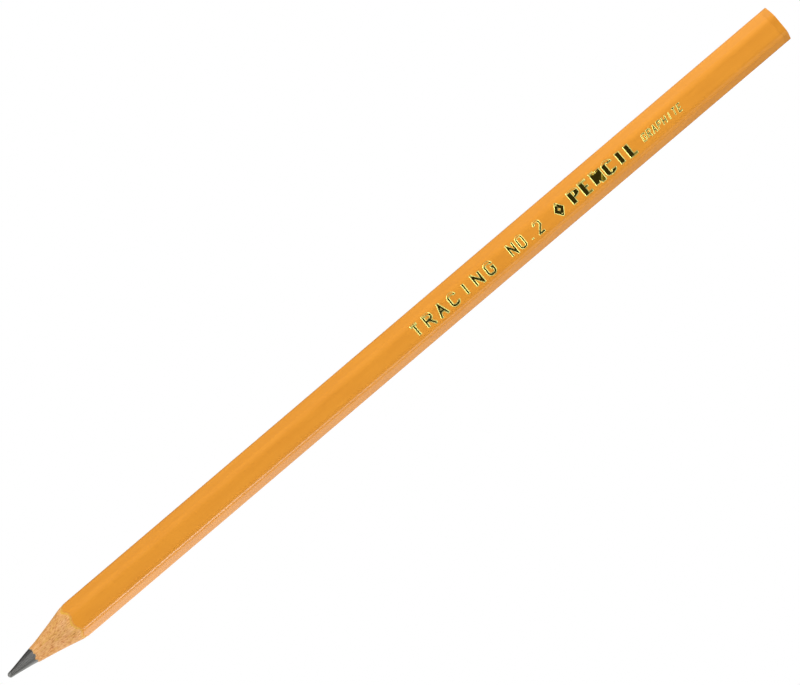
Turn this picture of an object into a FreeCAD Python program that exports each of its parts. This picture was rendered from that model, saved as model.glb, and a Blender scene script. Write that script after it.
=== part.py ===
"""Wood-cased graphite pencil: hexagonal barrel, factory point, dipped end, foil stampings.

The pencil is drawn along +X with its point at X = 0 and its axis on X, and every sub-part's
Placement then sets it in the part's frame: it lies on one flat, with the origin under its middle,
the point towards -X and the stamped face up.
"""
import FreeCAD
import Part
import os
import Sketcher

# alias, millimetres (or a plain ratio), what it is
DIMENSIONS = [
    ("total_length", 175.0, "point to butt"),
    ("across_flats", 6.49, "over the colour coat"),
    ("corner_radius", 1.5, "barrel corners, over the colour coat"),
    ("colour_thickness", 0.06, "colour coat"),
    ("undercoat_thickness", 0.05, "ground coat, wood to colour"),
    ("core_diameter", 2.7, "graphite core"),
    ("bond_thickness", 0.03, "glue between core and groove"),
    ("glue_thickness", 0.05, "glue line between the slats"),
    ("dip_thickness", 0.5, "lacquer cap on the butt, at its middle"),
    ("dip_rim_radius", 0.1, "rounding of the cap's rim"),
    ("dip_dome_radius", 200.0, "doming of the cap"),
    ("tip_length", 0.24, "rounding of the worn point"),
    ("cone_start_radius", 0.45, "cone, where that rounding ends"),
    ("cone_cut_length", 16.5, "where the sharpening wheel's path leaves the barrel"),
    ("cone_cut_radius", 4.0, "its distance from the axis there"),
    ("wheel_radius", 140.0, "sharpening wheel, which leaves the cone slightly hollow"),
    ("stamp_depth", 0.04, "foil below the lacquer surface"),
    ("foil_thickness", 0.015, "foil with the lacquer it is pressed into"),
    ("stamp_middle", 0.27, "line of the stampings, off the middle of the face"),
    ("word_start", 91.4, "spaced word: distance from the point"),
    ("word_pitch", 2.75, "letter to letter"),
    ("word_width", 1.95, "letter width"),
    ("word_height", 2.67, "letter height"),
    ("word_stroke", 0.56, "stroke width"),
    ("grade_start", 113.2, "grade mark"),
    ("grade_pitch", 2.0, "letter to letter"),
    ("grade_width", 1.55, "letter width"),
    ("grade_height", 2.6, "letter height"),
    ("grade_stroke", 0.42, "stroke width"),
    ("emblem_start", 123.6, "emblem"),
    ("emblem_pitch", 2.2, "emblem to emblem"),
    ("emblem_width", 2.1, "emblem width"),
    ("emblem_height", 2.8, "emblem height"),
    ("emblem_stroke", 0.4, "stroke width"),
    ("title_start", 127.1, "bold word"),
    ("title_pitch", 2.56, "letter to letter"),
    ("title_width", 2.3, "letter width"),
    ("title_height", 2.8, "letter height"),
    ("title_stroke", 0.5, "level strokes; the stems are wider by the stretch"),
    ("small_start", 143.4, "small word"),
    ("small_pitch", 1.15, "letter to letter"),
    ("small_width", 0.9, "letter width"),
    ("small_height", 1.55, "letter height"),
    ("small_stroke", 0.25, "stroke width"),
    ("word_stretch", 1.0, "stem width over level stroke width"),
    ("grade_stretch", 1.0, "the same"),
    ("emblem_stretch", 1.0, "the same"),
    ("title_stretch", 2.1, "the same"),
    ("small_stretch", 1.0, "the same"),
    ("word_slant", 0.0, "sideways lean over height"),
    ("grade_slant", 0.0, "the same"),
    ("emblem_slant", 0.0, "the same"),
    ("title_slant", 0.0, "the same"),
    ("small_slant", 0.2, "the same"),
]

# Stroke letters. A point is a column and a row from 0 to 8, and an "o" after it rounds the corner.
GRID = 8
LETTERS = {
    "A": ["00 48 80", "13 73"],
    "C": ["86 88o 08o 00o 80o 82"],
    "D": ["00 08 88o 80o 00"],
    "E": ["80 00 08 88", "04 74"],
    "G": ["86 88o 08o 00o 80o 84 54"],
    "H": ["00 08", "80 88", "04 84"],
    "I": ["40 48"],
    "L": ["08 00 80"],
    "N": ["00 08 80 88"],
    "O": ["04 08o 88o 80o 00o 04"],
    "P": ["00 08 88o 84o 04"],
    "R": ["00 08 88o 84o 04", "44 80"],
    "T": ["40 48", "08 88"],
    "2": ["06 08o 88o 85 00 80"],
    ".": ["40 41"],
    "*": ["40 84 48 04 40", "42 64 46 24 42"],
}
# node of each stamping, its name in the sheet and what it says
STAMPS = [
    ("foil_word", "word", "TRACING"),
    ("foil_grade", "grade", "NO.2"),
    ("foil_emblem", "emblem", "*"),
    ("foil_title", "title", "PENCIL"),
    ("foil_small", "small", "GRAPHITE"),
]
CLEAR = 8.0         # reach of cutting solids beyond the barrel
STAMP_REACH = 0.5   # reach of a stamping block above and below the face

doc = FreeCAD.newDocument("pencil")
sheet = doc.addObject("Spreadsheet::Sheet", "Sizes")
for row, (alias, value, note) in enumerate(DIMENSIONS, 1):
    sheet.set(f"A{row}", alias)
    sheet.set(f"B{row}", str(value))
    sheet.setAlias(f"B{row}", alias)
    sheet.set(f"C{row}", note)
doc.recompute()


def size(alias):
    """One of the sheet's numbers."""
    return float(sheet.get(alias))


def bind(obj, **formulas):
    """Tie properties to the sheet; a double underscore in a name stands for a dot."""
    for name, formula in formulas.items():
        obj.setExpression(name.replace("__", "."), formula)


BARREL_END = "Sizes.total_length - Sizes.dip_thickness"
WOOD_INSET = "Sizes.colour_thickness + Sizes.undercoat_thickness"
FOIL_INSET = "Sizes.stamp_depth + Sizes.foil_thickness"


# ---- building blocks -----------------------------------------------------------------------

def lengthwise_edges(shape):
    """Names of the edges that run along the pencil."""
    return [f"Edge{number}" for number, edge in enumerate(shape.Edges, 1)
            if abs(edge.tangentAt(edge.FirstParameter).x) > 0.99]


def rounded_bar(name, inset, start="0", end=BARREL_END):
    """Hexagonal bar with rounded corners, inset from the finished surface of the barrel."""
    body = doc.addObject("PartDesign::Body", name)
    prism = body.newObject("PartDesign::AdditivePrism", name + "_prism")
    plane = [face for face in body.Origin.OriginFeatures if face.Role == "YZ_Plane"][0]
    prism.AttachmentSupport = (plane, "")
    prism.MapMode = "FlatFace"
    prism.Polygon = 6
    bind(prism, Circumradius=f"(Sizes.across_flats - 2 * ({inset})) / sqrt(3)",
         Height=f"{end} - ({start})", AttachmentOffset__Base__z=start)
    doc.recompute()
    rounding = body.newObject("PartDesign::Fillet", name + "_corners")
    rounding.Base = (prism, lengthwise_edges(prism.Shape))
    bind(rounding, Radius=f"Sizes.corner_radius - ({inset})")
    doc.recompute()
    return body


def rod(name, radius):
    """Round bar along the axis of the pencil."""
    cylinder = doc.addObject("Part::Cylinder", name)
    cylinder.Placement.Rotation = FreeCAD.Rotation(FreeCAD.Vector(0, 1, 0), 90)
    bind(cylinder, Radius=radius, Height=BARREL_END)
    return cylinder


def block(name, low_y, width, low_z, height):
    """Box as long as the barrel."""
    box = doc.addObject("Part::Box", name)
    bind(box, Length=BARREL_END, Width=width, Height=height,
         Placement__Base__y=low_y, Placement__Base__z=low_z)
    return box


def combine(kind, name, base, tool):
    """Boolean of two objects: kind is Cut or Common."""
    result = doc.addObject("Part::" + kind, name)
    result.Base = base
    result.Tool = tool
    return result


def all_of(name, shapes):
    """Fusion of several objects."""
    result = doc.addObject("Part::MultiFuse", name)
    result.Shapes = shapes
    return result


# ---- what the sharpening wheel takes away -------------------------------------------------

def point_void():
    """Ring of waste round the point: a worn tip, then a slightly hollow cone."""
    sketch = doc.addObject("Sketcher::SketchObject", "point_section")
    sketch.Placement.Rotation = FreeCAD.Rotation(FreeCAD.Vector(1, 0, 0), 90)
    vector = FreeCAD.Vector
    tip_end = vector(size("tip_length"), size("cone_start_radius"))
    cone_end = vector(size("cone_cut_length"), size("cone_cut_radius"))
    ball = (tip_end.x ** 2 + tip_end.y ** 2) / (2 * tip_end.x)
    tip_middle = vector(ball, 0) + (tip_end * 0.5 - vector(ball, 0)).normalize() * ball
    hollow = (cone_end - tip_end).Length ** 2 / (8 * size("wheel_radius"))
    cone_middle = (tip_end + cone_end) * 0.5 - vector(0, hollow)
    outer = CLEAR
    tip = sketch.addGeometry(Part.Arc(vector(0, 0), tip_middle, tip_end))
    cone = sketch.addGeometry(Part.Arc(tip_end, cone_middle, cone_end))
    back = sketch.addGeometry(Part.LineSegment(cone_end, vector(cone_end.x, outer)))
    roof = sketch.addGeometry(Part.LineSegment(vector(cone_end.x, outer), vector(0, outer)))
    front = sketch.addGeometry(Part.LineSegment(vector(0, outer), vector(0, 0)))

    def corner(edge, position):
        """Number of an arc's or line's end that lies at a position: 1 start, 2 end."""
        return 1 if (sketch.getPoint(edge, 1) - position).Length < 1e-6 else 2

    def join(edge_a, edge_b, position):
        sketch.addConstraint(Sketcher.Constraint(
            "Coincident", edge_a, corner(edge_a, position), edge_b, corner(edge_b, position)))

    join(tip, cone, tip_end)
    join(cone, back, cone_end)
    join(back, roof, vector(cone_end.x, outer))
    join(roof, front, vector(0, outer))
    join(front, tip, vector(0, 0))
    sketch.addConstraint(Sketcher.Constraint("Coincident", front, 2, -1, 1))
    sketch.addConstraint(Sketcher.Constraint("Vertical", back))
    sketch.addConstraint(Sketcher.Constraint("Vertical", front))
    sketch.addConstraint(Sketcher.Constraint("Horizontal", roof))
    sketch.addConstraint(Sketcher.Constraint("PointOnObject", tip, 3, -1))
    placed = [
        ("DistanceX", (-1, 1, tip, corner(tip, tip_end)), "tip_length"),
        ("DistanceY", (-1, 1, tip, corner(tip, tip_end)), "cone_start_radius"),
        ("DistanceX", (-1, 1, cone, corner(cone, cone_end)), "cone_cut_length"),
        ("DistanceY", (-1, 1, cone, corner(cone, cone_end)), "cone_cut_radius"),
        ("Radius", (cone,), "wheel_radius"),
    ]
    for kind, places, alias in placed:
        number = sketch.addConstraint(Sketcher.Constraint(kind, *places, size(alias)))
        sketch.renameConstraint(number, alias)
        sketch.setExpression("Constraints." + alias, "Sizes." + alias)
    number = sketch.addConstraint(Sketcher.Constraint("DistanceY", front, 2, front, 1, outer))
    sketch.renameConstraint(number, "reach")

    waste = doc.addObject("Part::Revolution", "point_void")
    waste.Source = sketch
    waste.Axis = vector(1, 0, 0)
    waste.Angle = 360
    waste.Solid = True
    return waste


# ---- stampings ---------------------------------------------------------------------------------

def straight_stroke(start, end, width):
    """Bar of the given width between two points of the letter."""
    along = (end - start).normalize()
    side = FreeCAD.Vector(-along.y, along.x) * (width / 2)
    outline = [start + side, end + side, end - side, start - side, start + side]
    return Part.Face(Part.makePolygon(outline))


def bend_stroke(corner, before, after, radius, width):
    """Quarter bend of the given width round the inside of a corner."""
    centre = corner + (before + after) * radius
    middle = FreeCAD.Vector(corner - centre).normalize()
    edges = []
    for reach in (radius + width / 2, radius - width / 2):
        ends = [centre - after * reach, centre + middle * reach, centre - before * reach]
        edges.append(Part.Arc(*ends).toShape())
    outer, inner = edges
    sides = [Part.makeLine(outer.valueAt(outer.FirstParameter), inner.valueAt(inner.FirstParameter)),
             Part.makeLine(outer.valueAt(outer.LastParameter), inner.valueAt(inner.LastParameter))]
    return Part.Face(Part.Wire(Part.__sortEdges__([outer, sides[1], inner, sides[0]])))


def stroke_faces(path, columns, rows, width, radius):
    """Faces of one stroke, whose path is points of the letter grid."""
    points = [FreeCAD.Vector(columns[int(p[0])], rows[int(p[1])]) for p in path.split()]
    rounded = ["o" in p for p in path.split()]
    faces = []
    for index in range(len(points) - 1):
        start, end = points[index], points[index + 1]
        along = (end - start).normalize()
        reach_back = -radius if rounded[index] else (0 if index == 0 else width / 2)
        reach_on = -radius if rounded[index + 1] else (0 if index + 2 == len(points) else width / 2)
        if abs(along.x) > 0.01 and abs(along.y) > 0.01:
            reach_back = reach_on = width / 2
        faces.append(straight_stroke(start - along * reach_back, end + along * reach_on, width))
        if rounded[index]:
            before = (points[index - 1] - start).normalize()
            faces.append(bend_stroke(start, before, along, radius, width))
    return faces


def letter_solid(letter, width, height, stroke, stretch, slant):
    """One letter as a block: its foot on y = 0, its left side on x = 0."""
    drawn_width = width / stretch
    columns = [stroke / 2 + (drawn_width - stroke) * step / GRID for step in range(GRID + 1)]
    rows = [stroke / 2 + (height - stroke) * step / GRID for step in range(GRID + 1)]
    radius = stroke * 0.5 + min(drawn_width, height) * 0.12
    faces = []
    for path in LETTERS[letter]:
        faces += stroke_faces(path, columns, rows, stroke, radius)
    face = faces[0].multiFuse(faces[1:]) if len(faces) > 1 else faces[0]
    frame = Part.makePlane(drawn_width, height)
    face = face.common(frame).removeSplitter()
    solid = face.extrude(FreeCAD.Vector(0, 0, 2 * STAMP_REACH))
    if stretch == 1 and slant == 0:
        return solid
    lean = FreeCAD.Matrix(stretch, slant, 0, 0, 0, 1, 0, 0, 0, 0, 1, 0, 0, 0, 0, 1)
    return solid.transformGeometry(lean)


def stamp_blocks(name, key, text):
    """Blocks in the shape of a stamping, through the stamped face."""
    width, height = size(key + "_width"), size(key + "_height")
    solids = []
    for place, letter in enumerate(text):
        solid = letter_solid(letter, width, height, size(key + "_stroke"),
                             size(key + "_stretch"), size(key + "_slant"))
        solid.translate(FreeCAD.Vector(place * size(key + "_pitch"), -height / 2, -STAMP_REACH))
        solids += solid.Solids
    blocks = doc.addObject("Part::Feature", name + "_blocks")
    blocks.Shape = Part.Compound(solids)
    bind(blocks, Placement__Base__x=f"Sizes.{key}_start",
         Placement__Base__y="Sizes.stamp_middle", Placement__Base__z="Sizes.across_flats / 2")
    return blocks


# ---- the sub-parts -----------------------------------------------------------------------------

waste = point_void()
colour_bar = rounded_bar("colour_bar", "0")
under_bar = rounded_bar("under_bar", "Sizes.colour_thickness")
wood_bar = rounded_bar("wood_bar", WOOD_INSET)
foil_bar = rounded_bar("foil_bar", "Sizes.stamp_depth")
floor_bar = rounded_bar("floor_bar", FOIL_INSET)
core_rod = rod("core_rod", "Sizes.core_diameter / 2")
channel = rod("channel", "Sizes.core_diameter / 2 + Sizes.bond_thickness")
pointed_wood = combine("Cut", "pointed_wood", wood_bar, waste)

sub_parts = {
    "graphite_core": combine("Cut", "graphite_core", core_rod, waste),
    "core_bond": combine("Cut", "core_bond", combine("Cut", "bond_tube", channel, core_rod), waste),
}

halves = {
    "slat_upper": (f"-{CLEAR}", f"2 * {CLEAR}", "Sizes.glue_thickness / 2", f"{CLEAR}"),
    "slat_lower": (f"-{CLEAR}", f"2 * {CLEAR}", f"-{CLEAR}", f"{CLEAR} - Sizes.glue_thickness / 2"),
    "glue_strip_left": ("0", f"{CLEAR}", "-Sizes.glue_thickness / 2", "Sizes.glue_thickness"),
    "glue_strip_right": (f"-{CLEAR}", f"{CLEAR}", "-Sizes.glue_thickness / 2", "Sizes.glue_thickness"),
}
for node, extents in halves.items():
    share = combine("Common", node + "_share", pointed_wood, block(node + "_box", *extents))
    sub_parts[node] = combine("Cut", node, share, channel)

ground = combine("Cut", "ground_tube", under_bar, wood_bar)
sub_parts["undercoat"] = combine("Cut", "undercoat", ground, waste)

foil_layer = combine("Cut", "foil_layer", foil_bar, floor_bar)
blocks = []
for node, key, text in STAMPS:
    blocks.append(stamp_blocks(node, key, text))
    sub_parts[node] = combine("Common", node, blocks[-1], foil_layer)

colour = combine("Cut", "colour_tube", colour_bar, under_bar)
pointed_colour = combine("Cut", "pointed_colour", colour, waste)
recesses = combine("Cut", "recesses", all_of("all_blocks", blocks), floor_bar)
sub_parts["colour_coat"] = combine("Cut", "colour_coat", pointed_colour, recesses)

dip_bar = rounded_bar("dip_bar", "0", BARREL_END, "Sizes.total_length")
faces = dip_bar.Shape.Faces
end_face = max(range(len(faces)), key=lambda number: faces[number].CenterOfMass.x)
dip_corners = dip_bar.Tip
rim = dip_bar.newObject("PartDesign::Fillet", "dip_rim")
rim.Base = (dip_corners, [f"Face{end_face + 1}"])
bind(rim, Radius="Sizes.dip_rim_radius")
dome = doc.addObject("Part::Sphere", "dip_dome")
bind(dome, Radius="Sizes.dip_dome_radius", Placement__Base__x="Sizes.total_length - Sizes.dip_dome_radius")
sub_parts["end_dip"] = combine("Common", "end_dip", dip_bar, dome)

for node, obj in sub_parts.items():
    obj.Label = node
    bind(obj, Placement__Base__x="-Sizes.total_length / 2", Placement__Base__z="Sizes.across_flats / 2")

doc.recompute()

# ---- checks and export -----------------------------------------------------------------------

for obj in doc.Objects:
    if "Invalid" in obj.State or "Error" in obj.State:
        raise RuntimeError(f"{obj.Name} did not compute: {obj.State}")
os.makedirs("parts", exist_ok=True)
for node, obj in sub_parts.items():
    shape = obj.Shape
    if shape.isNull() or not shape.isValid() or not shape.Solids:
        raise RuntimeError(f"{node} has no valid solid")
for node, obj in sub_parts.items():
    obj.Shape.exportStep(f"parts/{node}.step")
    box = obj.Shape.BoundBox
    print(f"{node:18s} solids {len(obj.Shape.Solids):2d}  volume {obj.Shape.Volume:10.4f} mm3  "
          f"X {box.XMin:8.3f} to {box.XMax:8.3f}  Y {box.YMin:6.3f} to {box.YMax:6.3f}  "
          f"Z {box.ZMin:6.3f} to {box.ZMax:6.3f}")
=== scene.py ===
"""A wood-cased graphite pencil in orange lacquer, lying on a pale table under soft studio light.

Metres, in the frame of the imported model: +X from the point to the butt, +Z up through the stamped
face. The lacquer coats, the slats, the core and the foil are modelled finer than the CAD solids
that they stand for; only the glue strips between the slats keep theirs.
"""
import math

import bmesh
import bpy
from mathutils import Matrix, Vector, noise


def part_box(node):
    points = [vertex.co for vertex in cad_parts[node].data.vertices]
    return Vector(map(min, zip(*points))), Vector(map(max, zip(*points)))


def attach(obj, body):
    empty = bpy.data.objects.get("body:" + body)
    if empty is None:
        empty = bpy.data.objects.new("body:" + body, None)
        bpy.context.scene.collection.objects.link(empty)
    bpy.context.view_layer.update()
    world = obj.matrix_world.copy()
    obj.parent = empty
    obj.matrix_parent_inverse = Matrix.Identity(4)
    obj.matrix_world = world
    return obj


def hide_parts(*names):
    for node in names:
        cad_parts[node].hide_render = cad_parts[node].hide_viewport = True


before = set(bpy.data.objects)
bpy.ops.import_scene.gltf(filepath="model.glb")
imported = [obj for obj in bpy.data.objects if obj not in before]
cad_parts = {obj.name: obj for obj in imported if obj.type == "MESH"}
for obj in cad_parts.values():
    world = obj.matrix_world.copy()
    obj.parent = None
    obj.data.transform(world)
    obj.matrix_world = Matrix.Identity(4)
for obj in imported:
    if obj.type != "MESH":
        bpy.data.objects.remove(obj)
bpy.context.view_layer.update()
MM = 0.001

# ---- sizes, read from the frame ------------------------------------------------------------

coat_low, coat_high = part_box("colour_coat")
ground_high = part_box("undercoat")[1]
slat_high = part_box("slat_upper")[1]
core_low, core_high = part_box("graphite_core")
bond_low, bond_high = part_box("core_bond")
dip_low, dip_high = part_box("end_dip")

FLATS = dip_high.z - dip_low.z                      # across the flats, over the lacquer
CORNERS = coat_high.y - coat_low.y                  # across the rounded corners
AXIS_Z = FLATS / 2                                  # height of the pencil's axis
ROUND_LOSS = 2 / math.sqrt(3) - 1                   # what a corner loses to a rounding of 1
CORNER_RADIUS = (FLATS / math.sqrt(3) - CORNERS / 2) / ROUND_LOSS
GROUND_INSET = coat_high.y - ground_high.y          # thickness of the colour coat
WOOD_INSET = coat_high.y - slat_high.y              # colour and ground coats together
CORE_RADIUS = (core_high.z - core_low.z) / 2
BOND_RADIUS = (bond_high.z - bond_low.z) / 2
TIP_X, BUTT_X = core_low.x, dip_high.x
BARREL_END = core_high.x
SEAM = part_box("glue_strip_left")[1].z - AXIS_Z      # half the glue line between the slats
WHEEL_RADIUS = 140 * MM                             # the wheel that leaves the cone hollow
TIP_ROUNDING = 0.24 * MM                            # length of the worn tip
TIP_CONE_RADIUS = 0.45 * MM                         # cone where the worn tip ends
PAINTED_TIP_SHEEN_LENGTH = 1.0 * MM                              # the end of the core painted paler, a painted sheen
OFF_CENTRE = 0.10 * MM                              # how far off the axis the point was ground
OFF_CENTRE_START, OFF_CENTRE_FULL = -79.5 * MM, -83 * MM   # where it begins, and is all there


def between(low, high, share):
    """The value or point that share of the way from low to high."""
    return low + (high - low) * share


def eased(share):
    """A share of 0 to 1 that sets off and arrives gently."""
    return share * share * (3 - 2 * share)


def wheel_centre():
    """Centre (x, r) of the hollow cone's arc, through the foremost points of the bond and the coat."""
    near, far = Vector((bond_low.x, CORE_RADIUS)), Vector((coat_low.x, FLATS / 2 - GROUND_INSET))
    chord = far - near
    away = Vector((-chord.y, chord.x)).normalized()
    return (near + far) / 2 + away * math.sqrt(WHEEL_RADIUS ** 2 - chord.length_squared / 4)


WHEEL = wheel_centre()


def cone_x(radius):
    """Where the sharpened cone has a given radius."""
    return WHEEL.x + math.sqrt(WHEEL_RADIUS ** 2 - (WHEEL.y - radius) ** 2)


def hexagon(angle, inset=0.0):
    """Distance from the axis to the barrel's rounded outline, at an angle from +Y."""
    sector = math.radians(60)
    rounding = CORNER_RADIUS - inset
    off_corner = abs((angle + sector / 2) % sector - sector / 2)
    off_face = sector / 2 - off_corner
    flat = FLATS / 2 - inset
    centre = (flat - rounding) / math.cos(sector / 2)
    if flat * math.tan(off_face) <= centre * math.sin(sector / 2):
        return flat / math.cos(off_face)
    return centre * math.cos(off_corner) + math.sqrt(rounding ** 2 - (centre * math.sin(off_corner)) ** 2)


def raggedness(angle, seed, grain, reach):
    """Torn edge of a film: an offset that changes about every `grain` round the barrel."""
    turns = FLATS / 2 / grain
    place = Vector((math.cos(angle), math.sin(angle), 0)) * turns + Vector((0, 0, seed))
    return noise.noise(place) * reach


# ---- making pieces -------------------------------------------------------------------------------

SHARP = math.radians(9)         # surfaces that meet at more than this keep a crisp edge


def add_piece(name, bm, slot, *replaced):
    """A piece on the pencil from a bmesh, with the CAD nodes it stands for. The slot argument is not used.
    """
    mesh = bpy.data.meshes.new(name)
    bm.to_mesh(mesh)
    bm.free()
    piece = bpy.data.objects.new(name, mesh)
    bpy.context.scene.collection.objects.link(piece)
    for face in mesh.polygons:
        face.use_smooth = True
    mesh.set_sharp_from_angle(angle=SHARP)
    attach(piece, "root")
    if replaced:
        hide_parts(*replaced)
    return piece


def polar(x, radius, angle):
    """A point given along, out from and round the pencil's axis; angle 0 is +Y, 90 degrees is +Z.
    Towards the point the axis runs a little to +Y."""
    share = min(max((OFF_CENTRE_START - x) / (OFF_CENTRE_START - OFF_CENTRE_FULL), 0), 1)
    aside = OFF_CENTRE * eased(share)
    return Vector((x, aside + radius * math.cos(angle), AXIS_Z + radius * math.sin(angle)))


def swept(runs, turn_steps, first=0.0, last=360.0, closed_section=True):
    """A solid swept round the axis. Each run of its section is (steps, path), path(share, angle)
    giving a point. An open section starts and ends on the axis; a part turn is capped."""
    steps = sum(count for count, path in runs)
    full_turn = last - first >= 360
    bm = bmesh.new()
    bmesh.ops.create_grid(bm, x_segments=steps, y_segments=turn_steps, size=0.5)
    for vert in bm.verts:
        step = round((vert.co.x + 0.5) * steps)
        turn = round((vert.co.y + 0.5) * turn_steps)
        if closed_section:
            step %= steps
        if full_turn:
            turn %= turn_steps
        angle = math.radians(first + (last - first) * turn / turn_steps)
        for count, path in runs:
            if step <= count:
                break
            step -= count
        vert.co = path(step / count, angle)
    bmesh.ops.remove_doubles(bm, verts=bm.verts, dist=1e-7)
    if not full_turn:
        bmesh.ops.holes_fill(bm, edges=[edge for edge in bm.edges if edge.is_boundary], sides=0)
    bmesh.ops.recalc_face_normals(bm, faces=bm.faces)
    return bm


# ---- lacquer coats ------------------------------------------------------------------------------

CUT_NORMAL = -0.15              # faces of the coat that look this far to the point are cut ones
CUT_REACH = 3 * MM              # and lie this near its front
SIDE_RINGS = 40
TURN_STEPS = 360
COAT_SEED, GROUND_SEED, WOOD_SEED, CORE_SEED, BITE_SEED, DIP_SEED = 11.3, 4.7, 8.1, 2.9, 7.0, 5.5
SLEEVE = 0.014 * MM             # thickness of the dip where it laps onto the barrel
SLEEVE_LENGTH = 1.25 * MM
WAVE_LENGTH, WAVE_REACH = 1.9 * MM, 0.7 * MM    # its wavy edge
LAP_START = BUTT_X - SLEEVE_LENGTH - WAVE_REACH
NARROWING = 0.2                 # share of the lapped end over which the coat narrows under it
COARSE_TEAR, FINE_TEAR = 0.6 * MM, 0.2 * MM     # the torn edges' two grains


def film_edge(inset, seed, on_flats, on_corners, tearing):
    """The edge that the wheel leaves on a film's outer side: path(angle) to x and radius. The film has
    broken away behind the cone, further on the flats than on the corners, and is torn to and fro."""
    def edge(angle):
        radius = hexagon(angle, inset)
        flatness = (1 - math.cos(6 * angle)) / 2
        worn = between(on_corners, on_flats, flatness)
        coarse = raggedness(angle, seed, COARSE_TEAR, tearing)
        fine = raggedness(angle, seed + 3, FINE_TEAR, tearing)
        return cone_x(radius) + worn + (coarse + fine), radius
    return edge


def coat(name, slot, node, inset, thickness, outer_edge, inner_edge, sleeve=0.0):
    """One coat of lacquer: a hexagonal tube whose front is cut to the cone, and which narrows by the
    sleeve's thickness where the dip laps over it."""
    def cut(share, angle):
        (inner_x, inner_r), (outer_x, outer_r) = inner_edge(angle), outer_edge(angle)
        return polar(between(inner_x, outer_x, share), between(inner_r, outer_r, share), angle)

    def outside(share, angle):
        x, radius = outer_edge(angle)
        return polar(between(x, LAP_START, share ** 1.5), radius, angle)

    def lapped(share, angle):
        narrowed = hexagon(angle, inset + sleeve * eased(min(share / NARROWING, 1)))
        return polar(between(LAP_START, BARREL_END, share), narrowed, angle)

    def back(share, angle):
        outer = hexagon(angle, inset + sleeve)
        return polar(BARREL_END, between(outer, hexagon(angle, inset + thickness), share), angle)

    def inside(share, angle):
        x, radius = inner_edge(angle)
        return polar(between(BARREL_END, x, share), radius, angle)

    bm = swept([(2, cut), (SIDE_RINGS, outside), (20, lapped), (1, back), (1, inside)], TURN_STEPS)
    return add_piece(name, bm, slot, node)


# ---- wood, core and dip ---------------------------------------------------------------------------

RELIEF_LENGTH, RELIEF_TURNS, RELIEF_HEIGHT = 2.2 * MM, 14, 0.012 * MM   # the wheel's marks on wood
SCORE_LENGTH, SCORE_TURNS, SCORE_HEIGHT = 3 * MM, 6, 0.03 * MM          # and on the core
RUB_SEED, RUB_DEPTH = 3.1, 0.05 * MM                                    # the tip's worn hollows


def groove_radius(angle, radius):
    """The groove's and the core's radius: a little out of round, with small bites along the cut."""
    out_of_round = 0.06 * MM * math.sin(angle) + 0.04 * MM * math.cos(angle) + 0.06 * MM
    wide_bites = raggedness(angle, CORE_SEED, 3.0 * MM, 0.08 * MM)
    small_bites = raggedness(angle, BITE_SEED, 0.9 * MM, 0.06 * MM)
    return radius + out_of_round + (wide_bites + small_bites)


def slat(name, node, first):
    """Half of the wooden casing, its cone left with the fine relief of a sanding wheel's cut."""
    wood_edge = film_edge(WOOD_INSET, WOOD_SEED, 0, 0, 0.04 * MM)

    def off_seam(radius, angle):
        """The angle squeezed so that the slat stops at the glue line."""
        squeeze = math.asin(SEAM / radius)
        start = math.radians(first)
        return start + squeeze + (angle - start) * (1 - 2 * squeeze / math.pi)

    def relief(x, angle):
        place = Vector((x / RELIEF_LENGTH, math.cos(angle) * RELIEF_TURNS, math.sin(angle) * RELIEF_TURNS))
        return noise.noise(place + Vector((0, 0, WOOD_SEED))) * RELIEF_HEIGHT

    def cone(share, angle):
        edge_x, edge_r = wood_edge(off_seam(hexagon(angle, WOOD_INSET), angle))
        inner = groove_radius(angle, BOND_RADIUS)
        radius = between(inner, edge_r, share)
        fade = math.sin(math.pi * share) ** 0.3 if 0 < share < 1 else 0
        x = between(cone_x(radius), edge_x, max(0, share - 0.97) / 0.03)
        angle = off_seam(radius, angle)
        return polar(x, radius + relief(x, angle) * fade, angle)

    def outside(share, angle):
        angle = off_seam(hexagon(angle, WOOD_INSET), angle)
        x, radius = wood_edge(angle)
        return polar(between(x, BARREL_END, share ** 2), radius, angle)

    def back(share, angle):
        outer = hexagon(angle, WOOD_INSET)
        radius = between(outer, groove_radius(angle, BOND_RADIUS), share)
        return polar(BARREL_END, radius, off_seam(radius, angle))

    def channel(share, angle):
        inner = groove_radius(angle, BOND_RADIUS)
        return polar(between(BARREL_END, cone_x(inner), share), inner, off_seam(inner, angle))

    bm = swept([(110, cone), (12, outside), (1, back), (1, channel)], 180, first, first + 180)
    return add_piece(name, bm, "cedar", node)


def bond():
    """The film of glue between core and groove, cut by the cone."""
    def cut(share, angle):
        radius = groove_radius(angle, between(CORE_RADIUS, BOND_RADIUS, share))
        return polar(cone_x(radius), radius, angle)

    def outside(share, angle):
        radius = groove_radius(angle, BOND_RADIUS)
        return polar(between(cone_x(radius), BARREL_END, share), radius, angle)

    def back(share, angle):
        return polar(BARREL_END, groove_radius(angle, between(BOND_RADIUS, CORE_RADIUS, share)), angle)

    def inside(share, angle):
        radius = groove_radius(angle, CORE_RADIUS)
        return polar(between(BARREL_END, cone_x(radius), share), radius, angle)

    bm = swept([(1, cut), (1, outside), (1, back), (1, inside)], 240)
    return add_piece("bond_film", bm, "white_glue", "core_bond")


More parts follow.
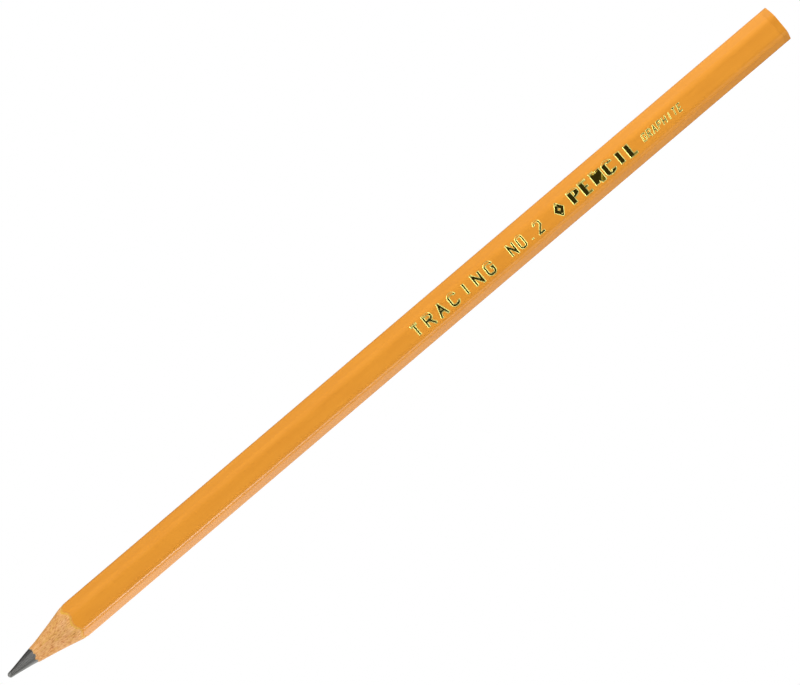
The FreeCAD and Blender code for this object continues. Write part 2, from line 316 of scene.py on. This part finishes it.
def core():
    """The graphite core: a worn, rounded tip, a cone with fine lengthwise scores, and the rod."""
    ball = (TIP_ROUNDING ** 2 + TIP_CONE_RADIUS ** 2) / (2 * TIP_ROUNDING)
    widest = math.asin(TIP_CONE_RADIUS / ball)

    def tip(share, angle):
        lean = widest * share
        rub = noise.noise(Vector((math.cos(angle), math.sin(angle), RUB_SEED))) * RUB_DEPTH * share
        return polar(TIP_X + ball * (1 - math.cos(lean)) + abs(rub) * share, ball * math.sin(lean), angle)

    def cone(share, angle):
        widest_here = groove_radius(angle, CORE_RADIUS)
        radius = between(TIP_CONE_RADIUS, widest_here, share)
        x = between(tip(1, angle).x, cone_x(radius), min(1, share * 8))
        place = Vector((x / SCORE_LENGTH, math.cos(angle) * SCORE_TURNS, math.sin(angle) * SCORE_TURNS))
        score = noise.noise(place) * SCORE_HEIGHT * math.sin(math.pi * share)
        return polar(x, radius + score, angle)

    def side(share, angle):
        radius = groove_radius(angle, CORE_RADIUS)
        return polar(between(cone_x(radius), BARREL_END, share), radius, angle)

    def back(share, angle):
        return polar(BARREL_END, groove_radius(angle, CORE_RADIUS) * (1 - share), angle)

    bm = swept([(12, tip), (60, cone), (4, side), (1, back)], 240, closed_section=False)
    return add_piece("pencil_core", bm, "graphite", "graphite_core")


def dip():
    """The butt's cap of lacquer: a soft dome with a rounded rim, lapping onto the barrel in a thin
    sleeve with a wavy edge, as a dipped end dries."""
    rim = 0.07 * MM
    dome_rise = 0.015 * MM

    def dome(share, angle):
        outer = hexagon(angle, rim)
        fall = dome_rise * share ** 2 * (outer / (CORNERS / 2 - rim)) ** 2
        return polar(BUTT_X - fall, outer * share, angle)

    def rounding(share, angle):
        edge = dome(1, angle)
        lean = math.radians(90) * share
        radius = between(hexagon(angle, rim), hexagon(angle), math.sin(lean))
        return polar(edge.x - rim * (1 - math.cos(lean)), radius, angle)

    def sleeve_start(angle):
        return BUTT_X - SLEEVE_LENGTH + raggedness(angle, DIP_SEED, WAVE_LENGTH, WAVE_REACH)

    def side(share, angle):
        x = between(rounding(1, angle).x, sleeve_start(angle) + SLEEVE, share)
        return polar(x, hexagon(angle), angle)

    def lip(share, angle):
        lean = math.radians(90) * share
        return polar(sleeve_start(angle) + SLEEVE * (1 - math.sin(lean)),
                     hexagon(angle, SLEEVE * (1 - math.cos(lean))), angle)

    def under(share, angle):
        return polar(between(sleeve_start(angle), BARREL_END, share), hexagon(angle, SLEEVE), angle)

    def face(share, angle):
        return polar(BARREL_END, hexagon(angle, SLEEVE) * (1 - share), angle)

    bm = swept([(24, dome), (6, rounding), (10, side), (4, lip), (1, under), (1, face)], TURN_STEPS,
               closed_section=False)
    return add_piece("butt_dip", bm, "orange_lacquer", "end_dip")


# ---- foil stampings ---------------------------------------------------------------------------------

FOIL_SINK = 0.005 * MM          # the foil's floor below the top of its CAD solid
STAMP_DEPTH = 0.045 * MM        # the same floor below the lacquer's surface
RECESS_DEPTH = 0.015 * MM       # the recess in the coat below the top of the CAD solid
FOIL_BODY = 0.005 * MM
CUTTER_HEIGHT = 0.4 * MM        # takes the recess's cutter clear of the lacquer
FLOOR_NORMAL = 0.985            # faces flatter than this are the foil's floor, the rest its rims
SHARPEST_MITRE = 0.4            # keeps the floor's corner near the outline's where a letter is acute
FOIL_WALLS = {"foil_word": 0.15 * MM, "foil_grade": 0.10 * MM, "foil_emblem": 0.11 * MM,
              "foil_title": 0.15 * MM, "foil_small": 0.075 * MM}


def stamp_floor(node):
    """The upper faces of a stamping's CAD solids."""
    bm = bmesh.new()
    bm.from_mesh(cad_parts[node].data)
    bmesh.ops.remove_doubles(bm, verts=bm.verts, dist=0.002 * MM)
    bm.normal_update()
    others = [face for face in bm.faces if face.normal.z < 0.5]
    bmesh.ops.delete(bm, geom=others, context="FACES")
    return bm


def foil(node, wall):
    """Hot-stamped foil: a flat floor pressed into the lacquer, with sloping sides up to its surface."""
    bm = stamp_floor(node)
    inward = {}
    outline = [edge for edge in bm.edges if edge.is_boundary]
    for edge in outline:
        loop = edge.link_loops[0]
        along = (loop.link_loop_next.vert.co - loop.vert.co).normalized()
        for vert in edge.verts:
            inward.setdefault(vert, []).append(Vector((-along.y, along.x, 0)))
    made = bmesh.ops.extrude_edge_only(bm, edges=outline)
    raised = [item for item in made["geom"] if isinstance(item, bmesh.types.BMVert)]
    bmesh.ops.translate(bm, verts=raised, vec=(0, 0, STAMP_DEPTH))
    bmesh.ops.translate(bm, verts=bm.verts[:], vec=(0, 0, -FOIL_SINK))
    for vert, (one, other) in inward.items():
        vert.co += (one + other) * wall / max(1 + one.dot(other), SHARPEST_MITRE)
    made = bmesh.ops.extrude_face_region(bm, geom=bm.faces[:])
    lowered = [item for item in made["geom"] if isinstance(item, bmesh.types.BMVert)]
    bmesh.ops.translate(bm, verts=lowered, vec=(0, 0, -FOIL_BODY))
    bmesh.ops.recalc_face_normals(bm, faces=bm.faces)
    return add_piece(node.replace("foil", "stamped"), bm, "gold_foil", node)


def stamp_cutter():
    """All the stampings' outlines as blocks, to cut their recesses from the colour coat."""
    joined = bmesh.new()
    for node in FOIL_WALLS:
        bm = stamp_floor(node)
        bmesh.ops.translate(bm, verts=bm.verts, vec=(0, 0, -RECESS_DEPTH))
        made = bmesh.ops.extrude_face_region(bm, geom=bm.faces[:])
        raised = [item for item in made["geom"] if isinstance(item, bmesh.types.BMVert)]
        bmesh.ops.translate(bm, verts=raised, vec=(0, 0, CUTTER_HEIGHT))
        bmesh.ops.recalc_face_normals(bm, faces=bm.faces)
        mesh = bpy.data.meshes.new("cutter_" + node)
        bm.to_mesh(mesh)
        bm.free()
        joined.from_mesh(mesh)
        bpy.data.meshes.remove(mesh)
    mesh = bpy.data.meshes.new("stamp_cutter")
    joined.to_mesh(mesh)
    joined.free()
    cutter = bpy.data.objects.new("stamp_cutter", mesh)
    bpy.context.scene.collection.objects.link(cutter)
    return cutter


def cut_recesses(piece):
    """Lets the stampings into the colour coat."""
    cutter = stamp_cutter()
    boolean = piece.modifiers.new("recesses", "BOOLEAN")
    boolean.operation, boolean.solver, boolean.object = "DIFFERENCE", "EXACT", cutter
    graph = bpy.context.evaluated_depsgraph_get()
    mesh = bpy.data.meshes.new_from_object(piece.evaluated_get(graph))
    piece.modifiers.clear()
    old, piece.data = piece.data, mesh
    bpy.data.meshes.remove(old)
    mesh.name = piece.name
    mesh.attributes.remove(mesh.attributes["custom_normal"])
    mesh.set_sharp_from_angle(angle=SHARP)
    block = cutter.data
    bpy.data.objects.remove(cutter)
    bpy.data.meshes.remove(block)


TORN = 0.14 * MM
wood_front = film_edge(WOOD_INSET, GROUND_SEED, 0.75 * MM, 0.40 * MM, TORN)
ground_front = film_edge(GROUND_INSET, COAT_SEED, 0.98 * MM, 0.45 * MM, TORN)
colour_front = film_edge(0, COAT_SEED, 0.98 * MM, 0.45 * MM, TORN)
ground = coat("ground_coat", "yellow_ground", "undercoat", GROUND_INSET, WOOD_INSET - GROUND_INSET,
              ground_front, wood_front)
colour = coat("colour_lacquer", "orange_lacquer", "colour_coat", 0, GROUND_INSET, colour_front, ground_front,
              SLEEVE)
cut_recesses(colour)
slats = [slat("upper_slat", "slat_upper", 0), slat("lower_slat", "slat_lower", 180)]
bond_film = bond()
lead = core()
butt = dip()
foils = [foil(node, wall) for node, wall in FOIL_WALLS.items()]


# ---- materials -----------------------------------------------------------------------------------

def linear(hex_colour):
    """An sRGB hex colour as the linear RGBA that Blender's sockets take."""
    parts = [int(hex_colour[i:i + 2], 16) / 255 for i in (1, 3, 5)]
    return tuple(c / 12.92 if c <= 0.04045 else ((c + 0.055) / 1.055) ** 2.4 for c in parts) + (1.0,)


def new_material(name):
    """An empty node material and its tree, with the Principled shader that everything feeds."""
    material = bpy.data.materials.new(name)
    material.use_nodes = True
    return material, material.node_tree, material.node_tree.nodes["Principled BSDF"]


def add(tree, kind, inputs=None, stops=None, **settings):
    """Adds a node, sets its properties and colour stops, and sets or links its inputs."""
    made = tree.nodes.new(kind)
    for name, value in settings.items():
        setattr(made, name, value)
    for socket, value in (inputs or {}).items():
        target = next(item for number, item in enumerate(made.inputs)
                      if socket in (number, item.name, item.identifier))
        if isinstance(value, bpy.types.NodeSocket):
            tree.links.new(value, target)
        else:
            target.default_value = value
    for number, (place, colour) in enumerate(stops or []):
        elements = made.color_ramp.elements
        element = elements[number] if number < len(elements) else elements.new(place)
        element.position, element.color = place, linear(colour)
    return made


def on_pencil(tree, stretch=(1, 1, 1)):
    """Object coordinates in millimetres from the pencil's axis, stretched along each way."""
    place = add(tree, "ShaderNodeTexCoord").outputs["Object"]
    scale = [1000 / value for value in stretch]
    shift = (0, 0, -AXIS_Z * scale[2])
    return add(tree, "ShaderNodeMapping", {"Vector": place, "Scale": scale, "Location": shift}).outputs[0]


def lacquer_material(name, shade, light, roughness):
    """Nitrocellulose lacquer, wiped on in a felt ring: even and glossy, with a faint lengthwise drag.
    Where the sharpening wheel has cut it, it is matt; the dipped end's copy is a slightly darker orange,
    painted shade."""
    material, tree, shader = new_material(name)
    mottle = add(tree, "ShaderNodeTexNoise", {"Vector": on_pencil(tree, (9, 1.5, 1.5)), "Scale": 1.0,
                                             "Detail": 3.0}).outputs["Fac"]
    colour = add(tree, "ShaderNodeValToRGB", {"Fac": mottle}, [(0.3, shade), (0.7, light)])
    tree.links.new(colour.outputs["Color"], shader.inputs["Base Color"])
    shader.inputs["Roughness"].default_value = roughness
    peel = add(tree, "ShaderNodeTexNoise", {"Vector": on_pencil(tree, (2.4, 0.5, 0.5)), "Scale": 1.0,
                                           "Detail": 2.0}).outputs["Fac"]
    bump = add(tree, "ShaderNodeBump", {"Height": peel, "Strength": 0.15, "Distance": 0.02 * MM})
    tree.links.new(bump.outputs["Normal"], shader.inputs["Normal"])
    return material


def ground_material():
    """Yellow ground lacquer cut by the sanding wheel: matt, slightly furred."""
    material, tree, shader = new_material("ground_lacquer_yellow")
    fur = add(tree, "ShaderNodeTexNoise", {"Vector": on_pencil(tree, (0.5, 0.12, 0.12)), "Scale": 1.0,
                                          "Detail": 3.0}).outputs["Fac"]
    colour = add(tree, "ShaderNodeValToRGB", {"Fac": fur},
                 [(0.27, "#9A7228"), (0.34, "#DA9E34"), (0.7, "#E4B048")])
    tree.links.new(colour.outputs["Color"], shader.inputs["Base Color"])
    shader.inputs["Roughness"].default_value = 0.55
    bump = add(tree, "ShaderNodeBump", {"Height": fur, "Strength": 0.3, "Distance": 0.02 * MM})
    tree.links.new(bump.outputs["Normal"], shader.inputs["Normal"])
    return material


def wood_material():
    """Bare light cedar across a wheel-cut cone: pink and straw streaks of growth, short orange-brown
    flecks with a few dark pores, and furred fibres."""
    material, tree, shader = new_material("sanded_light_cedar")
    growth = add(tree, "ShaderNodeTexNoise", {"Vector": on_pencil(tree, (5, 0.5, 0.8)), "Scale": 1.0,
                                             "Detail": 4.0, "Roughness": 0.65}).outputs["Fac"]
    colour = add(tree, "ShaderNodeValToRGB", {"Fac": growth},
                 [(0.34, "#DDA856"), (0.5, "#E3AB66"), (0.66, "#EAB478")]).outputs["Color"]
    fibre = add(tree, "ShaderNodeTexNoise", {"Vector": on_pencil(tree, (1.1, 0.16, 0.16)), "Scale": 1.0,
                                            "Detail": 3.0}).outputs["Fac"]
    fleck = add(tree, "ShaderNodeValToRGB", {"Fac": fibre},
                [(0.28, "#9A7A54"), (0.37, "#DCAA7C"), (0.54, "#FFFFFF")]).outputs["Color"]
    mixed = add(tree, "ShaderNodeMix", {"Factor": 0.75, "A_Color": colour, "B_Color": fleck},
                data_type="RGBA", blend_type="MULTIPLY")
    tree.links.new(mixed.outputs[2], shader.inputs["Base Color"])
    shader.inputs["Roughness"].default_value = 0.7
    bump = add(tree, "ShaderNodeBump", {"Height": fibre, "Strength": 0.5, "Distance": 0.03 * MM})
    tree.links.new(bump.outputs["Normal"], shader.inputs["Normal"])
    return material


def graphite_material():
    """Fired graphite and clay, ground to a point: dull grey, burnished in streaks that fan out from the
    point. The last millimetre of the worn tip and the core's -Y side are painted paler, a painted sheen."""
    material, tree, shader = new_material("fired_graphite")
    place = on_pencil(tree)
    outwards = add(tree, "ShaderNodeVectorMath", {0: place, 1: (0, 1, 1)}, operation="MULTIPLY").outputs[0]
    heading = add(tree, "ShaderNodeVectorMath", {0: outwards}, operation="NORMALIZE").outputs[0]
    along = add(tree, "ShaderNodeVectorMath", {0: place, 1: (0.12, 0, 0)}, operation="MULTIPLY").outputs[0]
    fan = add(tree, "ShaderNodeVectorMath", {0: heading, 1: (-7, -7, 7), 2: along},
              operation="MULTIPLY_ADD").outputs[0]
    streak = add(tree, "ShaderNodeTexNoise", {"Vector": fan, "Scale": 1.0, "Detail": 2.0}).outputs["Fac"]
    ground = add(tree, "ShaderNodeValToRGB", {"Fac": streak}, [(0.32, "#3A3A38"), (0.68, "#6A6967")])
    # painted sheen: the tip's last millimetre is painted paler
    from_tip = add(tree, "ShaderNodeSeparateXYZ", {"Vector": place}).outputs["X"]
    worn = add(tree, "ShaderNodeMapRange",
               {"Value": from_tip, "From Min": TIP_X / MM, "From Max": (TIP_X + PAINTED_TIP_SHEEN_LENGTH) / MM,
                "To Min": 0.8, "To Max": 0.0}).outputs["Result"]
    # painted sheen: the core's -Y side is painted paler
    across = add(tree, "ShaderNodeSeparateXYZ", {"Vector": heading}).outputs["Y"]
    painted_sheen_side = add(tree, "ShaderNodeMapRange", {"Value": across, "From Min": 0.6, "From Max": -0.9,
                                              "To Min": 0.0, "To Max": 0.5}).outputs["Result"]
    painted_sheen = add(tree, "ShaderNodeMath", {0: worn, 1: painted_sheen_side}, operation="MAXIMUM").outputs["Value"]
    # the pale grey of the painted sheen
    colour = add(tree, "ShaderNodeMix", {"Factor": painted_sheen, "A_Color": ground.outputs["Color"],
                                         "B_Color": linear("#A6A6A2")}, data_type="RGBA")
    tree.links.new(colour.outputs[2], shader.inputs["Base Color"])
    shader.inputs["Metallic"].default_value = 0.6
    shader.inputs["Roughness"].default_value = 0.42
    bump = add(tree, "ShaderNodeBump", {"Height": streak, "Strength": 0.4, "Distance": 0.02 * MM})
    tree.links.new(bump.outputs["Normal"], shader.inputs["Normal"])
    return material


def glue_material():
    """Dried wood glue: a hairline, a little darker and glossier than the wood."""
    material, tree, shader = new_material("dried_wood_glue")
    cloud = add(tree, "ShaderNodeTexNoise",
                {"Vector": on_pencil(tree, (1, 0.3, 0.3)), "Scale": 1.0}).outputs["Fac"]
    colour = add(tree, "ShaderNodeValToRGB", {"Fac": cloud}, [(0.3, "#B98E58"), (0.7, "#CDA36A")])
    tree.links.new(colour.outputs["Color"], shader.inputs["Base Color"])
    shader.inputs["Roughness"].default_value = 0.4
    return material


def foil_material(name, shade, light, roughness):
    """Hot-stamping foil: a film of yellow metal. Its floor mirrors the dark overhead, and its copy is a
    darker gold, painted shade; the rims, where it was stretched thin over the edges of the die's mark, are
    softer, and their copy is a paler gold, a painted highlight."""
    material, tree, shader = new_material(name)
    crinkle = add(tree, "ShaderNodeTexNoise", {"Vector": on_pencil(tree, (0.35, 0.2, 0.2)), "Scale": 1.0,
                                              "Detail": 3.0}).outputs["Fac"]
    colour = add(tree, "ShaderNodeValToRGB", {"Fac": crinkle}, [(0.3, shade), (0.7, light)])
    tree.links.new(colour.outputs["Color"], shader.inputs["Base Color"])
    shader.inputs["Metallic"].default_value = 1.0
    shader.inputs["Roughness"].default_value = roughness
    bump = add(tree, "ShaderNodeBump", {"Height": crinkle, "Strength": 0.35, "Distance": 0.02 * MM})
    tree.links.new(bump.outputs["Normal"], shader.inputs["Normal"])
    return material


def dress(material, *objects):
    """Gives objects one material in place of what they had."""
    for obj in objects:
        obj.data.materials.clear()
        obj.data.materials.append(material)


dress(lacquer_material("nitrocellulose_lacquer_orange", "#DA8F30", "#E09533", 0.22), colour)
# the dipped end is a slightly darker orange: painted shade for the darkening toward the butt
dress(lacquer_material("nitrocellulose_lacquer_dip_painted_shade", "#D48A2D", "#D9902F", 0.22), butt)
colour.data.materials.append(lacquer_material("nitrocellulose_lacquer_cut", "#DA8F30", "#E09533", 0.65))
for face in colour.data.polygons:
    if face.normal.x < CUT_NORMAL and face.center.x < coat_low.x + CUT_REACH:
        face.material_index = 1
dress(ground_material(), ground)
dress(wood_material(), *slats)
dress(graphite_material(), lead)
# the floor's foil is a darker gold, painted shade; the rims' foil is a paler gold, a painted highlight
dress(foil_material("hot_stamped_foil_floor_painted_shade", "#B89E34", "#D6BE4C", 0.2), *foils)
foil_rims_painted_highlight = foil_material("hot_stamped_foil_rims", "#DCD97A", "#ECE98E", 0.45)
for piece in foils:
    piece.data.materials.append(foil_rims_painted_highlight)
    for face in piece.data.polygons:
        face.material_index = int(abs(face.normal.z) < FLOOR_NORMAL)
glue = glue_material()
dress(glue, bond_film)
for node in ("glue_strip_left", "glue_strip_right"):
    for material_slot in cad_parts[node].material_slots:
        material_slot.material = glue


# ---- table, light and camera ------------------------------------------------------------------------

def table():
    """A white table, burnt out where the camera sees it. What the pencil sees of it is dimmer, with a
    painted glow
    of its own: bright in front of the point, where the lamps stand close, and dark behind."""
    bm = bmesh.new()
    bmesh.ops.create_grid(bm, x_segments=2, y_segments=2, size=6.0)
    mesh = bpy.data.meshes.new("table_top")
    bm.to_mesh(mesh)
    bm.free()
    top = bpy.data.objects.new("table_top", mesh)
    bpy.context.scene.collection.objects.link(top)
    material, tree, shader = new_material("white_acrylic_sheet")
    shader.inputs["Base Color"].default_value = linear("#5A5A5A")
    shader.inputs["Roughness"].default_value = 0.8
    shader.inputs["Emission Color"].default_value = (1, 1, 1, 1)
    place = add(tree, "ShaderNodeTexCoord").outputs["Object"]
    split = add(tree, "ShaderNodeSeparateXYZ", {"Vector": place}).outputs
    # painted glow: the table's own emission, a pool of light in front of the point fading towards the butt
    front = add(tree, "ShaderNodeMapRange", {"Value": split["X"], "From Min": TIP_X, "From Max": BUTT_X,
                                             "To Min": 1.3, "To Max": 0.05}).outputs["Result"]
    behind = add(tree, "ShaderNodeMapRange", {"Value": split["X"], "From Min": 0, "From Max": BUTT_X,
                                              "To Min": 0.0, "To Max": 0.3}).outputs["Result"]
    far_side = add(tree, "ShaderNodeMapRange", {"Value": split["Y"], "From Min": -2 * MM, "From Max": 2 * MM,
                                                "To Min": 0.0, "To Max": 1.0}).outputs["Result"]
    glow = add(tree, "ShaderNodeMix", {"Factor": far_side, "A": front, "B": behind})
    tree.links.new(glow.outputs["Result"], shader.inputs["Emission Strength"])
    burnt_out = add(tree, "ShaderNodeEmission", {"Color": (1, 1, 1, 1), "Strength": 1.0})
    seen = add(tree, "ShaderNodeLightPath").outputs["Is Camera Ray"]
    mixed = add(tree, "ShaderNodeMixShader", {0: seen, 1: shader.outputs["BSDF"], 2: burnt_out.outputs[0]})
    tree.links.new(mixed.outputs[0], tree.nodes["Material Output"].inputs["Surface"])
    dress(material, top)


def softbox(name, place, aim, width, height, radiance):
    """A rectangular light that faces a point, as bright as the white table times its radiance."""
    light = bpy.data.lights.new(name, "AREA")
    light.shape, light.size, light.size_y = "RECTANGLE", width, height
    light.energy = radiance * math.pi * width * height
    holder = bpy.data.objects.new(name, light)
    holder.location = place
    holder.rotation_euler = (Vector(aim) - Vector(place)).to_track_quat("-Z", "Y").to_euler()
    holder.visible_camera = False
    bpy.context.scene.collection.objects.link(holder)


def studio():
    """A dim room with a dark ceiling. The key stands beyond the butt, fills beyond the point, and a low
    bank of lamps in front draws the bright line along the pencil's near edge, fading to the butt."""
    world = bpy.data.worlds.new("studio")
    bpy.context.scene.world = world
    world.use_nodes = True
    tree = world.node_tree
    direction = add(tree, "ShaderNodeTexCoord").outputs["Generated"]
    height = add(tree, "ShaderNodeSeparateXYZ", {"Vector": direction}).outputs["Z"]
    grey = add(tree, "ShaderNodeValToRGB", {"Fac": height},
               [(0.0, "#707070"), (0.6, "#7A7A7A"), (0.85, "#343434")])
    tree.links.new(grey.outputs["Color"], tree.nodes["Background"].inputs["Color"])
    softbox("key_softbox", (0.65, 0.8, 0.2), (0, 0, 0), 0.3, 0.5, 24)
    softbox("back_softbox", (-0.5, 0.6, 0.6), (0, 0, 0), 0.5, 0.5, 3.6)
    softbox("left_softbox", (-0.75, -0.1, 0.7), (0, 0, 0), 0.5, 0.5, 5.4)
    softbox("right_softbox", (0.8, -0.1, 0.62), (0, 0, 0), 0.5, 0.5, 4.4)
    softbox("front_low_softbox", (0.8, -0.6, 0.3), (0, 0, 0), 0.5, 0.5, 6.5)
    for number, radiance in enumerate((8.5, 2.8, 1.0, 0.6)):
        place = Vector((-0.065 + 0.07 * number, -0.42, 0.19))
        softbox(f"low_lamp_{number + 1}", place, (place.x, 0, 0), 0.07, 0.14, radiance)


LENS_DISTANCE = 1.0                 # metres from the pencil's middle
SENSOR_WIDTH = 36                   # millimetres
FRAME_WIDTH = 138.55 * MM           # what the frame takes in at the pencil
ROLL = math.radians(40.37)          # the pencil's slope in the frame
SIDE_LEAN = math.radians(5.5)       # camera towards +Y
TIP_LEAN = math.radians(2.5)        # camera towards the point
FRAME_MIDDLE = (0.90 * MM, 1.10 * MM)  # frame's middle from the pencil's, right and up


def camera():
    """A long lens above the stamped face, a little towards the point and the far side."""
    back = Vector((-math.tan(TIP_LEAN), math.tan(SIDE_LEAN), 1)).normalized()
    pencil_line = (Vector((1, 0, 0)) - back * back.x).normalized()
    across = back.cross(pencil_line)
    right = pencil_line * math.cos(ROLL) - across * math.sin(ROLL)
    up = pencil_line * math.sin(ROLL) + across * math.cos(ROLL)
    data = bpy.data.cameras.new("camera")
    data.sensor_width = SENSOR_WIDTH
    data.lens = SENSOR_WIDTH * LENS_DISTANCE / FRAME_WIDTH
    data.clip_start, data.clip_end = 0.01, 20
    holder = bpy.data.objects.new("camera", data)
    middle = Vector((0, 0, AXIS_Z)) + right * FRAME_MIDDLE[0] + up * FRAME_MIDDLE[1]
    turn = Matrix((right, up, back)).transposed().to_4x4()
    holder.matrix_world = Matrix.Translation(middle + back * LENS_DISTANCE) @ turn
    bpy.context.scene.collection.objects.link(holder)
    bpy.context.scene.camera = holder


table()
studio()
camera()
bpy.context.scene.view_settings.view_transform = "Standard"
